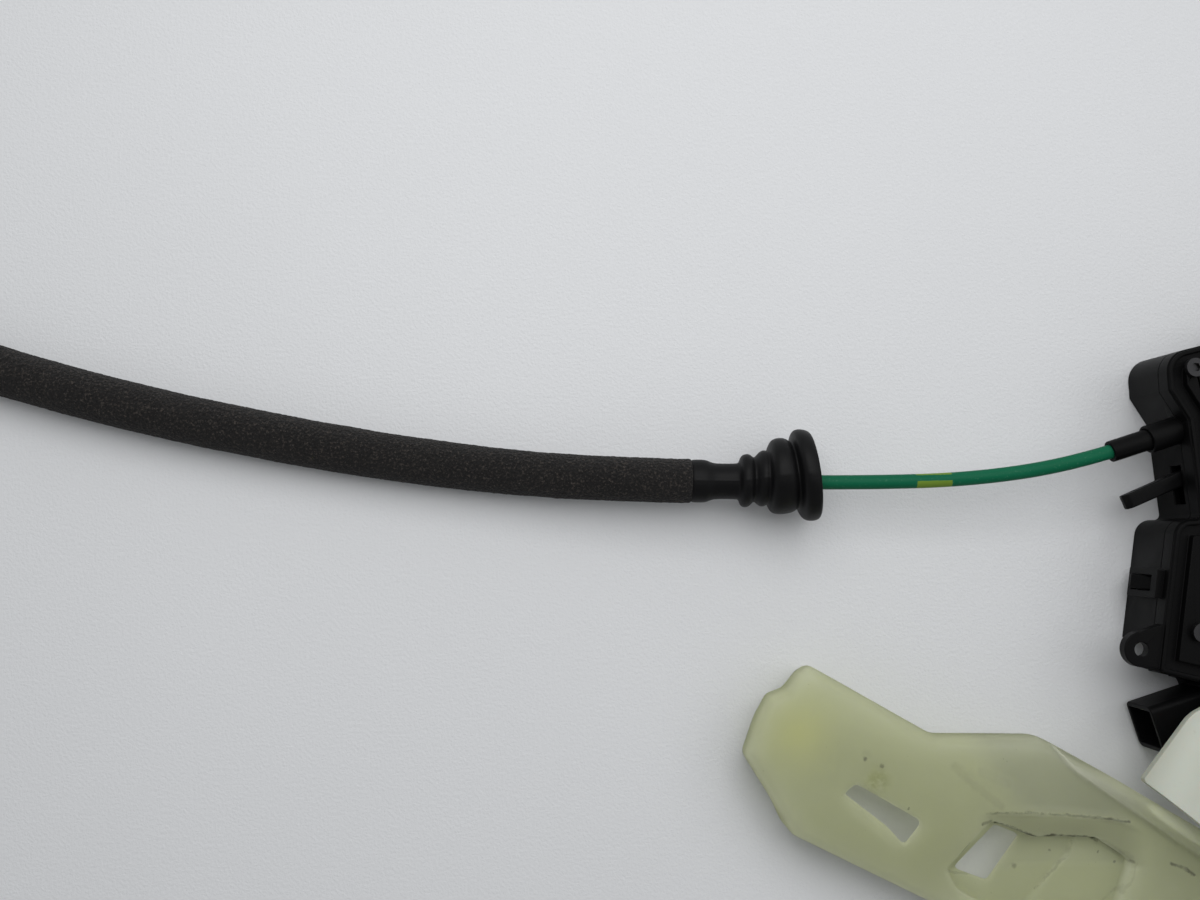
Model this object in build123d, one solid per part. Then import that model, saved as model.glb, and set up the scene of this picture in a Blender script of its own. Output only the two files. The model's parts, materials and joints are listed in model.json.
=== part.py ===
from build123d import *
import math
import os

# Side door latch with its actuator, inner release cable and guard. Sizes in millimetres.
# X runs towards the latch face, Y across the actuator, Z up from the surface it lies on.

# Fits
running_gap = 0.05
moving_gap = 0.4
seat_gap = 0.1

# Actuator case and cover
case_wall = 2.2
case_height = 28.0
case_parting = 22.0
case_points = (
    (194.5, 19.5), (193.9, 32.0), (245.0, 44.8), (245.0, -70.0), (238.2, -94.3),
    (215.3, -101.5), (209.0, -81.6), (187.9, -76.8), (195.7, -24.9), (204.6, -24.9), (201.0, 9.2),
)
case_rounds = (1.5, 8.0, 5.0, 6.0, 4.0, 3.0, 3.0, 2.0, 6.0, 2.0, 2.0)
case_right = case_points[2][0]
lip_height = 1.1
lip_width = 1.4
plateau_height = 2.6
plateau_inset = 5.5
pocket_centre = (194.5, -72.8)
pocket_radius = 7.5
ear_centre = (182.6, -69.0)
ear_radius = 6.0
ear_thickness = 4.0
ear_hole_radius = 2.4
snap_width = 10.0
snap_drop = 17.0
snap_bar = 2.2
snap_wedge_depth = 5.0
snap_left_distance = 30.0
snap_upper_distance = 34.0
snap_right_y = -48.0
boss_radius = 5.0
case_screw_places = ((236.0, 34.0), (236.0, -66.0))
cover_screw_places = ((202.0, 27.0), (201.5, -63.0), (238.5, -86.0))
screw_core_radius = 1.5

# Connector shroud, square to the cable entry
connector_mouth = (188.9, -89.8)
connector_turn = 17.5
connector_width = 16.7
connector_low = 2.0
connector_high = 20.0
connector_wall = 1.8
connector_corner = 2.4
connector_length = 27.0
connector_depth = 15.0
pin_rows = 2
pins_per_row = 3
pin_pitch = 3.6
pin_side = 0.9

# Cable entry
entry_root = (196.2, 4.8)
entry_turn = 17.8
entry_height = 20.0
ferrule_radius = 3.75
ferrule_length = 20.0
ferrule_seat = 6.0
ferrule_floor = 2.0
hood_wall = 1.2
hood_reach = 6.0

# Cable
conduit_radius = 2.5
wire_radius = 0.8
wire_bore = 1.0
conduit_seat = 6.0
sleeve_radius = 8.0
route = (
    (182.85, 0.52, 20.0),
    (163.0, -5.85, 20.0),
    (128.0, -11.0, 17.5),
    (90.0, -12.1, 16.4),
    (50.0, -11.8, 15.2),
    (12.0, -11.3, 13.6),
    (-30.0, -8.9, 9.4),
    (-74.0, -3.4, 8.0),
    (-118.0, 4.2, 8.0),
    (-163.0, 13.9, 8.0),
    (-207.0, 25.9, 8.0),
    (-250.0, 40.5, 8.0),
    (-291.0, 57.5, 3.8),
    (-324.0, 75.0, 4.0),
    (-342.0, 86.5, 4.0),
)
arc_share = 0.45
sleeve_first = 4
sleeve_last = 11
grommet_profile = (
    (0.0, 7.45), (4.9, 7.45), (7.7, 6.15), (16.4, 6.15), (17.6, 9.15), (20.6, 9.15),
    (22.2, 7.9), (23.8, 9.7), (26.4, 9.7), (27.0, 12.2), (28.6, 13.2), (33.4, 13.2),
    (35.2, 11.6), (36.6, 14.6), (37.8, 15.85), (41.6, 15.85), (42.8, 14.8), (40.2, 11.0),
    (39.6, 5.0), (42.0, 4.0),
)
handle_ferrule_radius = 3.5
handle_flange_radius = 4.0
handle_ferrule_length = 24.0
nipple_radius = 2.5
nipple_height = 7.4
wire_tail = 16.0

# Motor, worm and wheel
motor_radius = 11.6
motor_height = 18.3
motor_seat = 1.65
motor_axis = (case_right - 14.3, case_wall + motor_seat + motor_height / 2)
motor_length = 30.5
motor_end = 3.5
end_cap_length = 2.5
shaft_radius = 1.0
worm_core = 3.6
worm_radius = 4.6
worm_thread = 0.55
worm_pitch = 3.0
worm_length = 18.0
worm_end = -33.0
wheel_radius = 14.0
wheel_teeth = 30
tooth_depth = 1.5
tooth_gap = 0.25
tooth_tip = 0.45
tooth_root = 0.9
wheel_height = 8.0
wheel_y = -42.0
cam_pin_radius = 2.0
cam_pin_reach = 7.3
cam_pin_turn = 30.0

# Lock lever
lock_pivot = (211.3, -7.3)
lock_low = 14.0
lock_thickness = 4.0
lock_width = 5.2
lock_arm_width = 3.6
lock_reach = 30.0
lock_turn = 203.0
lock_fork_low = 17.6
lock_fork_thickness = 2.8
pin_radius = 2.0

# Inside lever
inside_reach = 18.0
inside_half_swing = 20.0
inside_low = 15.0
inside_thickness = 2.4
inside_pin_radius = 2.5
wire_mid = 22.0
output_turn = 5.0
output_reach = 15.0
output_width = 6.0
finger_height = 7.0

# Latch module, stacked along X from the levers to the latch face
lever_gap = 3.0
lever_x = case_right + lever_gap
lever_thickness = 2.5
back_gap = 3.5
back_x = lever_x + lever_thickness + back_gap
back_thickness = 2.0
body_x = back_x + back_thickness
body_depth = 19.0
plate_x = body_x + body_depth
plate_thickness = 3.2
face_x = plate_x + plate_thickness
cavity_depth = 12.0
cavity_x = plate_x - cavity_depth
plate_box = (-46.0, 40.0, 0.0, 62.0)
body_inset = 1.5
plate_corner = 7.0
striker_y = -3.0
striker_gap = 15.0
striker_rest = 32.0
channel_floor = 21.0
fork_pivot_place = (-19.0, 30.0)
fork_radius = 22.5
fork_thickness = 9.0
fork_bore = 4.5
throat_width = 10.5
throat_start = 10.8
fork_open = 60.0
pawl_pivot_place = (19.0, 16.0)
pawl_hub = 7.0
pawl_reach = 26.0
pawl_half_height = 4.0
pawl_thickness = 8.0
pawl_bore = 4.0
pawl_pin_reach = 11.0
pawl_pin_turn = 200.0
pawl_pin_radius = 2.0
pawl_swing = 10.0
pin_window_gap = 1.5
rivet_head = 6.2
rivet_head_height = 1.6
spring_wire = 0.7
switch_span = ((22.0, 34.0), (32.0, 44.0))
switch_depth = 8.0
mount_places = ((-37.0, 53.5), (31.5, 53.5), (31.5, 5.5))
mount_radius = 2.5
flange_high = 1.6
flange_width = 12.0
lever_end = (50.0, 22.0)
clip_bore = 2.1
clip_radius = 3.2
key_pivot = (-30.0, 49.0)
key_reach = 24.0
key_turn = 110.0
key_eye_radius = 2.6

# Guard and its arm
guard_height = 22.0
guard_wall = 2.2
guard_edge = (
    (46.2, -102.6), (50.6, -90.5), (54.6, -83.4), (60.0, -81.5), (64.6, -76.0), (68.5, -73.6),
    (110.3, -97.1), (146.3, -97.7), (176.0, -114.3), (233.0, -147.0), (226.0, -192.0),
    (180.0, -186.0), (107.2, -152.7), (64.5, -131.8),
)
guard_rounds = (3.2, 3.2, 3.2, 3.2, 3.2, 3.2, 6.0, 14.0, 8.0, 9.0, 12.0, 20.0, 10.0, 4.0)
guard_edge_round = 2.6
slot_one = ((85.3, -113.9), (107.7, -126.7), (101.3, -134.3), (95.6, -128.1), (81.1, -117.0))
slot_two = ((132.5, -127.9), (140.8, -131.2), (129.3, -146.3), (117.9, -142.1))
recess_edge = (
    (131.8, -126.6), (147.6, -133.0), (169.0, -133.4), (181.0, -141.2), (172.0, -166.0),
    (134.0, -158.0), (119.5, -149.5), (115.8, -142.6),
)
recess_depth = 8.0
slot_wall_drop = 15.0
rib_height = 4.0
rib_start = (148.5, -98.5)
guard_boss = (221.0, -143.0)
guard_boss_radius = 7.0
arm_pedestal = 5.0
arm_low = case_height + arm_pedestal
arm_thickness = 2.5
arm_crest = (206.0, -110.0)
arm_bend = 45.0
arm_sweep = 55.0
arm_turn = 62.0
arm_edge = (
    (180.6, -112.4), (197.0, -90.3), (216.0, -79.0), (245.0, -80.0), (245.0, -100.0),
    (230.0, -150.0), (213.0, -152.0), (199.0, -127.4),
)
arm_rounds = (1.5, 14.0, 10.0, 5.0, 12.0, 7.0, 7.0, 10.0)
arm_case_place = (238.5, -86.0)


def outline(points, rounds):
    return make_face(FilletPolyline(*points, radius=rounds, close=True))


def prism(face, low, high):
    """A flat outline raised from one height to another."""
    return extrude(Pos(0, 0, low) * face, high - low, dir=(0, 0, 1))


def slab(face, start, end):
    """An outline drawn in Y and Z, thickened along X from start to end."""
    return extrude(Plane.YZ.offset(start) * face, end - start, dir=(1, 0, 0))


def rod(radius, length):
    """A cylinder that stands on its base."""
    return Cylinder(radius, length, align=(Align.CENTER, Align.CENTER, Align.MIN))


def post(place, low, high, radius):
    return Pos(place[0], place[1], low) * rod(radius, high - low)


def bar(place, start, end, radius):
    """A cylinder along X at a place given in Y and Z."""
    return Pos(start, place[0], place[1]) * Rot(0, 90, 0) * rod(radius, end - start)


def block(low, high):
    size = [b - a for a, b in zip(low, high)]
    return Pos(*low) * Box(*size, align=(Align.MIN, Align.MIN, Align.MIN))


def turned(place, angle, reach):
    """The point at a reach and an angle in degrees from a place in a plane."""
    return (
        place[0] + reach * math.cos(math.radians(angle)),
        place[1] + reach * math.sin(math.radians(angle)),
    )


def strip(start, end, width):
    """A flat straight strip with round ends between two places."""
    length = math.dist(start, end)
    angle = math.degrees(math.atan2(end[1] - start[1], end[0] - start[0]))
    return Pos(*start) * Rot(0, 0, angle) * Pos(length / 2, 0) * SlotCenterToCenter(length, width)


def along_entry(distance, height=entry_height):
    """The frame whose Z points into the case along the cable entry, a distance past its root."""
    x, y = turned(entry_root, entry_turn, distance)
    direction = turned((0, 0), entry_turn, 1)
    return Plane(origin=(x, y, height), x_dir=(0, 0, 1), z_dir=(*direction, 0))


def entry_rod(start, end, radius):
    return along_entry(start) * rod(radius, end - start)


def winding(height, mean_radius, pitch, wire):
    """A round wire wound up along Z."""
    path = Helix(pitch, height, mean_radius)
    section = Plane(origin=path @ 0, z_dir=path % 0) * Circle(wire)
    return sweep(section, path=path, is_frenet=True)


def coil(place, start, height, mean_radius, turns):
    """A torsion spring wound round an X axis at a place in Y and Z."""
    return Pos(start, *place) * Rot(0, 90, 0) * winding(height, mean_radius, height / turns, spring_wire)


case_face = outline(case_points, case_rounds)
case_inner = offset(case_face, -case_wall)
connector_side = connector_turn - 90
wire_foot = turned(entry_root, entry_turn, wire_mid)
inside_pivot = turned(wire_foot, entry_turn + 90, inside_reach)
inside_rest_turn = entry_turn - 90 + inside_half_swing
nipple_offset = inside_reach * math.tan(math.radians(inside_half_swing))
nipple_place = turned(wire_foot, entry_turn, nipple_offset)
wheel_centre = (motor_axis[0] - worm_core - wheel_radius - tooth_gap, wheel_y)
wheel_low = motor_axis[1] - wheel_height / 2
cover_under = case_height - case_wall


def pocket(radius, low, high):
    return post(pocket_centre, low, high, radius)


def wall_frame(start, end, distance):
    """A frame on a wall of the case, X out of it and Y along it, a distance from the wall's start."""
    angle = math.degrees(math.atan2(end[1] - start[1], end[0] - start[0]))
    x, y = turned(start, angle, distance)
    return Pos(x, y, 0) * Rot(0, 0, angle + 90)


def snap_places():
    """Frames of the snap fits: one on the left wall, one on the upper wall and one on the right."""
    return (
        wall_frame(case_points[7], case_points[8], snap_left_distance),
        wall_frame(case_points[1], case_points[2], snap_upper_distance),
        Pos(case_right, snap_right_y, 0),
    )


def connector_frame(distance):
    """The frame at the middle of the shroud, Z running from the mouth into the case."""
    middle = turned(connector_mouth, connector_side, connector_width / 2)
    x, y = turned(middle, connector_turn, distance)
    direction = turned((0, 0), connector_turn, 1)
    height = (connector_low + connector_high) / 2
    return Plane(origin=(x, y, height), x_dir=(0, 0, 1), z_dir=(*direction, 0))


def shroud_block(inset, start, end):
    tall = connector_high - connector_low - 2 * inset
    wide = connector_width - 2 * inset
    corner = max(connector_corner - inset, connector_corner / 4)
    return connector_frame(start) * extrude(RectangleRounded(tall, wide, corner), end - start)


def lock_window():
    """The opening in the case wall through which the lock lever sticks out."""
    return block((196.0, -19.5, lock_low - 1.5), (208.0, -6.0, lock_low + lock_thickness + 1.5))


def actuator_case():
    hood_radius = ferrule_radius + hood_wall
    shell = prism(case_face, 0, case_parting) - pocket(pocket_radius, -1, case_parting + 1)
    hollow = prism(case_inner, case_wall, case_parting + 1) - pocket(pocket_radius + case_wall, 0, case_parting + 1)
    shell = shell + shroud_block(0, 0, connector_length) + entry_rod(-hood_reach, ferrule_seat, hood_radius)
    shell = shell - hollow - shroud_block(connector_wall, -1, connector_depth)
    shell = shell + (entry_rod(0, ferrule_seat + ferrule_floor, hood_radius) & prism(case_face, 0, case_height))
    shell = shell - entry_rod(-ferrule_length, ferrule_seat, ferrule_radius + running_gap)
    shell = shell - entry_rod(0, ferrule_length, wire_bore + 0.6) - lock_window()
    for place in case_screw_places:
        shell = shell + (post(place, 0, case_parting, boss_radius) - post(place, 8, 60, screw_core_radius + 0.6))
    for place in cover_screw_places[:2]:
        shell = shell + (post(place, 0, case_parting, boss_radius - 1) - post(place, 8, 60, screw_core_radius))
    for place, radius in ((wheel_centre, 3.6), (lock_pivot, 4.0), (inside_pivot, 4.0)):
        shell = shell + post(place, 1, lower_boss_top(place), radius)
    shell = shell - post(wheel_centre, 1, 40, pin_radius) - post(lock_pivot, 1, 40, pin_radius)
    shell = shell - post(inside_pivot, 1, 40, inside_pin_radius)
    for y in (motor_end - 6, motor_end - motor_length + 4):
        top = motor_axis[1] - motor_height / 2
        shell = shell + block((motor_axis[0] - 9, y, 1), (motor_axis[0] + 9, y + 2, top))
    shell = shell + worm_bearing()
    for frame in snap_places():
        shell = shell + frame * snap_wedge()
    for pin in connector_pins():
        shell = shell - pin
    return shell


def lower_boss_top(place):
    """How high a pivot's boss reaches under the piece that turns on it."""
    tops = {
        wheel_centre: wheel_low - moving_gap,
        lock_pivot: lock_low - 2 - moving_gap,
        inside_pivot: inside_low - 2 - moving_gap,
    }
    return tops[place]


def shaft_rod(start, end, radius):
    """A cylinder on the motor's axis between two places along Y."""
    return Pos(motor_axis[0], end, motor_axis[1]) * Rot(90, 0, 0) * rod(radius, end - start)


def worm_bearing():
    """The post that carries the free end of the worm's shaft."""
    y = worm_end - worm_length - moving_gap
    post_block = block((motor_axis[0] - 4, y - 4, 1), (motor_axis[0] + 4, y, motor_axis[1] + 4))
    return post_block - shaft_rod(y - 5, y + 1, shaft_radius + running_gap)


def snap_wedge():
    """A sloping catch on the wall, under the bar of a snap loop."""
    low = case_parting - snap_drop + snap_bar + 3.2
    profile = Polygon(
        (-0.5, low), (snap_wedge_depth, low), (snap_wedge_depth, low + 1.5), (0.4, low + 8), (-0.5, low + 8),
        align=None,
    )
    width = snap_width - 2 * snap_bar - 2 * moving_gap
    return extrude(Plane.XZ.offset(-width / 2) * profile, width)


def snap_loop():
    """A loop that hangs from the cover's skirt outside the wall and hooks under the wedge."""
    top = case_parting + 3
    low = case_parting - snap_drop
    outer = block((0.3, -snap_width / 2, low), (0.3 + snap_bar, snap_width / 2, top))
    window = block((0, -snap_width / 2 + snap_bar, low + snap_bar), (4, snap_width / 2 - snap_bar, top - 4))
    root = block((-0.8, -snap_width / 2, case_parting + 0.2), (0.3 + snap_bar, snap_width / 2, top))
    return outer + root - window


def actuator_cover():
    ear = post(ear_centre, case_height - ear_thickness, case_height, ear_radius)
    web = Polygon((182.6, -63.0), (192.0, -60.0), (194.0, -78.2), (182.6, -75.0), align=None)
    ear = ear + prism(web, case_height - ear_thickness, case_height)
    shell = prism(case_face, case_parting, case_height) + ear
    hollow = prism(case_inner, case_parting - 1, cover_under)
    shell = shell - (hollow - prism(Pos(*ear_centre) * Circle(14), case_height - ear_thickness, case_height))
    lip = offset(case_face, -0.5) - offset(case_face, -0.5 - lip_width)
    plateau = offset(case_face, -plateau_inset)
    shell = shell + prism(lip, case_height, case_height + lip_height)
    shell = shell + prism(plateau, case_height, case_height + plateau_height)
    shell = shell - post(ear_centre, 0, 60, ear_hole_radius)
    for place in cover_screw_places[:2]:
        shell = shell - post(place, 0, 60, screw_core_radius + 0.3)
    for place in case_screw_places:
        shell = shell - post(place, 0, 60, screw_core_radius + 1)
    shell = shell - post(cover_screw_places[2], 0, 60, screw_core_radius)
    pedestal = post(arm_case_place, case_height, arm_low, boss_radius)
    shell = shell + (pedestal - post(arm_case_place, 0, 60, screw_core_radius))
    hood_end = ferrule_seat + ferrule_floor + 2
    shell = shell - entry_rod(-ferrule_length, hood_end, ferrule_radius + hood_wall + seat_gap)
    for frame in snap_places():
        shell = shell + frame * snap_loop()
    return shell


def cover_seal():
    """The cord of rubber pressed between tray and cover, just inside their walls."""
    ring = offset(case_face, -case_wall - seat_gap) - offset(case_face, -case_wall - 0.9)
    seal = prism(ring, case_parting - 0.8, case_parting + 0.8)
    seal = seal - pocket(pocket_radius + 2 * case_wall, 0, 60)
    for place in (*case_screw_places, *cover_screw_places):
        seal = seal - post(place, 0, 60, boss_radius + seat_gap)
    return seal - entry_rod(-ferrule_length, ferrule_length, ferrule_radius + hood_wall + 0.5)


def screw(place, low, seat, core, head_radius, head_height):
    shank = post(place, low, seat, core)
    head = post(place, seat, seat + head_height, head_radius)
    socket = Pos(*place, seat + head_height - 1.2) * extrude(RegularPolygon(head_radius * 0.5, 6), 2)
    return shank + head - socket


def cover_screws():
    top = case_height + plateau_height
    return [screw(place, 9, top, screw_core_radius, 3.2, 2.2) for place in cover_screw_places[:2]]


def flange_seat():
    """The underside of the back plate's bent flanges."""
    return case_height + plateau_height + seat_gap


def case_to_latch_screws():
    top = flange_seat() + flange_high
    return [screw(place, 9, top, screw_core_radius + 0.6, 4.5, 3.0) for place in case_screw_places]


def motor_can():
    start = motor_end - motor_length
    can = motor_section(start, motor_end) + shaft_rod(start - 2, start, 3.0)
    return can - shaft_rod(start - 3, start + 10, shaft_radius + running_gap)


def motor_section(start, end):
    """The motor's round body with its two flats, between two places along Y."""
    section = Circle(motor_radius) & Rectangle(2 * motor_radius, motor_height)
    return Pos(motor_axis[0], end, motor_axis[1]) * Rot(90, 0, 0) * extrude(section, end - start)


def motor_end_cap():
    end = motor_end + end_cap_length
    return motor_section(motor_end, end) + shaft_rod(end, end + 1.5, 3.5)


def motor_contacts():
    """Two blades that carry the motor's current from the end cap down to the tray."""
    x, z = motor_axis
    y = motor_end + end_cap_length
    blades = []
    for side in (-5, 5):
        blade = block((x + side - 1.2, y, case_wall), (x + side + 1.2, y + 0.5, z))
        foot = block((x + side - 1.2, y, case_wall), (x + side + 1.2, y + 5, case_wall + 0.5))
        blades.append(blade + foot)
    return blades


def drive_worm():
    x, z = motor_axis
    core = shaft_rod(worm_end - worm_length, worm_end, worm_core)
    shaft = shaft_rod(worm_end - worm_length - 3, motor_end - motor_length + 4, shaft_radius)
    thread = winding(worm_length - worm_pitch, worm_radius - worm_thread, worm_pitch, worm_thread)
    return core + shaft + Pos(x, worm_end - worm_pitch / 2, z) * Rot(90, 0, 0) * thread


def worm_wheel():
    """The wheel, with a gap between two of its teeth where the worm's thread meets it."""
    disc = Circle(wheel_radius - tooth_depth)
    root = wheel_radius - tooth_depth - 0.5
    tooth = Polygon(
        (root, -tooth_root), (wheel_radius, -tooth_tip), (wheel_radius, tooth_tip), (root, tooth_root), align=None
    )
    for number in range(wheel_teeth):
        disc = disc + Rot(0, 0, (number + 0.5) * 360 / wheel_teeth) * tooth
    wheel = Pos(*wheel_centre) * prism(disc, wheel_low, wheel_low + wheel_height)
    wheel = wheel - post(wheel_centre, 0, 60, pin_radius + running_gap)
    cam = turned(wheel_centre, 90 + cam_pin_turn, cam_pin_reach)
    return wheel + post(cam, wheel_low + wheel_height - 1, lock_fork_low + lock_fork_thickness, cam_pin_radius)


def wheel_axle():
    return post(wheel_centre, 1, wheel_low + wheel_height + 0.2, pin_radius)


def lock_fork_turn(cam_turn=cam_pin_turn):
    """The angle of the lever's inner arm when the wheel's cam pin is turned so far from its middle."""
    cam = turned(wheel_centre, 90 + cam_turn, cam_pin_reach)
    return math.degrees(math.atan2(cam[1] - lock_pivot[1], cam[0] - lock_pivot[0]))


def lock_lever():
    tip = turned(lock_pivot, lock_turn, lock_reach)
    arm = strip(lock_pivot, turned(lock_pivot, lock_turn, 4), lock_width)
    tail = Pos(*lock_pivot) * Rot(0, 0, lock_turn) * Pos(lock_reach / 2, 0) * Rectangle(lock_reach, lock_width)
    lever = prism(tail + arm, lock_low, lock_low + lock_thickness)
    lever = lever - chamfer_wedge(tip)
    lever = lever + post(lock_pivot, lock_low - 2, lock_fork_low + lock_fork_thickness, 4.5)
    fork_turn = lock_fork_turn()
    reach = math.dist(lock_pivot, turned(wheel_centre, 90, cam_pin_reach)) + 5
    arm = Pos(reach / 2, 0) * Rectangle(reach, lock_arm_width)
    head = Pos(reach - 5, 0) * Rectangle(10, 2 * (cam_pin_radius + moving_gap) + 4)
    slot = Pos(reach - 4, 0) * Rectangle(9, 2 * (cam_pin_radius + moving_gap))
    fork = Pos(*lock_pivot) * Rot(0, 0, fork_turn) * (arm + head - slot)
    lever = lever + prism(fork, lock_fork_low, lock_fork_low + lock_fork_thickness)
    return lever - post(lock_pivot, 0, 60, pin_radius + running_gap)


def chamfer_wedge(tip):
    """The slanted cut across the upper edge of the lever's outer end."""
    cutter = Rot(0, 45, 0) * Box(2.4, 12, 2.4)
    return Pos(*tip, lock_low + lock_thickness) * Rot(0, 0, lock_turn) * cutter


def lock_lever_pin():
    return post(lock_pivot, 1, cover_under - seat_gap, pin_radius)


def lock_detent_spring():
    """A leaf standing on the floor beside the lever's hub."""
    x, y = lock_pivot
    top = lock_low + lock_thickness
    near = y + 4.5 + moving_gap
    leaf = block((x - 5, near, case_wall), (x + 5, near + 0.5, top))
    return leaf + block((x + 4.5, near, case_wall), (x + 5, near + 3, top - 4))


def lever_stop():
    """The rubber post against which the inside lever's output arm rests."""
    radius = 1.5
    along = turned(inside_pivot, output_turn, output_reach * 0.6)
    place = turned(along, output_turn + 90, output_width / 2 + moving_gap + radius)
    return post(place, case_wall, inside_low + inside_thickness + 1, radius)


def inside_lever():
    reach = inside_reach / math.cos(math.radians(inside_half_swing))
    arm_long = reach + 4
    inside_slot = 2 * (nipple_radius + moving_gap)
    arm = Pos(arm_long / 2, 0) * Rectangle(arm_long, inside_slot + 1.2)
    head = Pos(reach, 0) * Rectangle(8, inside_slot + 5)
    slot_start = inside_reach - nipple_radius - moving_gap
    slot = Pos((slot_start + arm_long + 1) / 2, 0) * Rectangle(arm_long + 1 - slot_start, inside_slot)
    fork = Rot(0, 0, inside_rest_turn) * (arm + head - slot)
    output = Rot(0, 0, output_turn) * Pos(output_reach / 2, 0) * SlotCenterToCenter(output_reach, output_width)
    plate = Pos(*inside_pivot) * (fork + output)
    lever = prism(plate, inside_low, inside_low + inside_thickness)
    lever = lever + post(inside_pivot, inside_low - 2, inside_low + inside_thickness + 1, 4.4)
    finger = turned(inside_pivot, output_turn, output_reach)
    lever = lever + post(finger, inside_low, inside_low + finger_height, 2)
    return lever - post(inside_pivot, 0, 60, inside_pin_radius + running_gap)


def inside_lever_pin():
    return post(inside_pivot, 1, cover_under - seat_gap, inside_pin_radius)


def inside_lever_spring():
    low = inside_low + inside_thickness + 1 + moving_gap + spring_wire
    height = cover_under - moving_gap - spring_wire - low
    return Pos(*inside_pivot, low) * winding(height, inside_pin_radius + 1.0, 2.5 * spring_wire, spring_wire)


def case_end_ferrule():
    tube = entry_rod(-ferrule_length, ferrule_seat, ferrule_radius)
    tube = tube - entry_rod(-ferrule_length - 1, conduit_seat - ferrule_length, conduit_radius)
    return tube - entry_rod(-ferrule_length, ferrule_seat + 1, wire_bore)


def wire_latch_end():
    reach = wire_mid + nipple_offset
    wire = entry_rod(-0.5, reach, wire_radius)
    low = inside_low - 0.6
    return wire + post(nipple_place, low, low + nipple_height, nipple_radius)


def bends():
    """Each corner's radius, from 0.45 of the shorter run beside it and its turn."""
    radii = []
    for before, here, after in zip(route, route[1:], route[2:]):
        one = Vector(*here) - Vector(*before)
        two = Vector(*after) - Vector(*here)
        turn = math.radians(one.get_angle(two))
        radii.append(arc_share * min(one.length, two.length) / math.tan(turn / 2))
    return radii


def middle(a, b):
    return tuple((p + q) / 2 for p, q in zip(a, b))


def tube(points, radii, outer):
    path = FilletPolyline(*points, radius=radii)
    section = Plane(origin=path @ 0, z_dir=path % 0) * Circle(outer)
    return sweep(section, path=path), path.length


def cable_conduit():
    solid, length = tube(route, bends(), conduit_radius)
    print("bend radii", [round(radius) for radius in bends()])
    section = math.pi * conduit_radius**2
    print("conduit length", round(length, 1), "volume ratio", round(solid.volume / (length * section), 6))
    return solid


def sleeve_start():
    return middle(route[sleeve_first], route[sleeve_first + 1])


def foam_sleeve():
    end = middle(route[sleeve_last - 1], route[sleeve_last])
    points = (sleeve_start(), *route[sleeve_first + 1:sleeve_last], end)
    radii = bends()[sleeve_first:sleeve_last - 1]
    outer, length = tube(points, radii, sleeve_radius)
    inner, _ = tube(points, radii, conduit_radius)
    print("sleeve length", round(length, 1))
    return outer - inner


def grommet():
    """A bellows turned about the cable's line, from the sleeve's end to the panel flange."""
    points = [(0, conduit_radius), *grommet_profile, (42.0, conduit_radius)]
    start, ahead = Vector(*sleeve_start()), Vector(*route[sleeve_first])
    turned_solid = revolve(make_face(Polyline(*points, close=True)), Axis.X)
    along = (ahead - start).normalized()
    return Plane(origin=start, x_dir=along, z_dir=along.cross(Vector(0, 1, 0))) * turned_solid


def handle_frame(distance):
    """The frame at the cable's far end, Z running on outwards."""
    last, before = Vector(*route[-1]), Vector(*route[-2])
    along = (last - before).normalized()
    return Plane(origin=last + along * distance, x_dir=(0, 0, 1), z_dir=along)


def handle_rod(start, end, radius):
    return handle_frame(start) * rod(radius, end - start)


def handle_end_ferrule():
    body = handle_rod(-conduit_seat, handle_ferrule_length - conduit_seat, handle_ferrule_radius)
    for start in (0, 5, handle_ferrule_length - conduit_seat - 2):
        body = body + handle_rod(start, start + 2, handle_flange_radius)
    body = body - handle_rod(-conduit_seat - 1, 0, conduit_radius)
    return body - handle_rod(-1, handle_ferrule_length, wire_bore)


def wire_handle_end():
    end = handle_ferrule_length - conduit_seat + wire_tail
    wire = handle_rod(2, end, wire_radius)
    place = handle_frame(end).origin
    return wire + post((place.X, place.Y), 1.0, 7.0, nipple_radius + 0.5)


def plate_face(inset=0):
    low_y, high_y, low_z, high_z = plate_box
    wide, tall = high_y - low_y - 2 * inset, high_z - low_z - 2 * inset
    return Pos((low_y + high_y) / 2, (low_z + high_z) / 2) * RectangleRounded(wide, tall, plate_corner - inset)


def striker_slot(bottom):
    """The outline of the way in for the striker, open at the top and round at the bottom."""
    top = plate_box[3] + 5
    shape = Pos(striker_y, (bottom + top) / 2) * Rectangle(striker_gap, top - bottom)
    return shape + Pos(striker_y, bottom) * Circle(striker_gap / 2)


def bolt_space():
    """The outline of the hollow in which fork bolt and pawl turn."""
    space = Pos(*fork_pivot_place) * Circle(fork_radius + 0.7)
    space = space + Pos(*pawl_pivot_place) * Circle(pawl_hub + 1.3)
    pawl_y = pawl_pivot_place[0]
    space = space + Polygon((-7.0, 5.5), (pawl_y, 6.0), (pawl_y, 22.5), (-7.0, 22.5), align=None)
    return space + Pos(striker_y, 44) * Rectangle(striker_gap, 46)


def latch_plate():
    plate = slab(plate_face() - striker_slot(striker_rest), plate_x, face_x)
    for place, radius in ((fork_pivot_place, fork_bore), (pawl_pivot_place, pawl_bore)):
        plate = plate - bar(place, plate_x - 1, face_x + 1, radius)
    for place in mount_places:
        plate = plate - bar(place, plate_x - 1, face_x + 1, mount_radius)
    return plate


def pawl_pin_place():
    return turned(pawl_pivot_place, pawl_pin_turn, pawl_pin_reach)


def pin_window(start, end):
    """The slot in which the pawl's pin swings, cut between two places along X."""
    swung = turned(pawl_pivot_place, pawl_pin_turn + pawl_swing, pawl_pin_reach)
    return slab(strip(pawl_pin_place(), swung, 2 * (pawl_pin_radius + pin_window_gap)), start, end)


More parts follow.
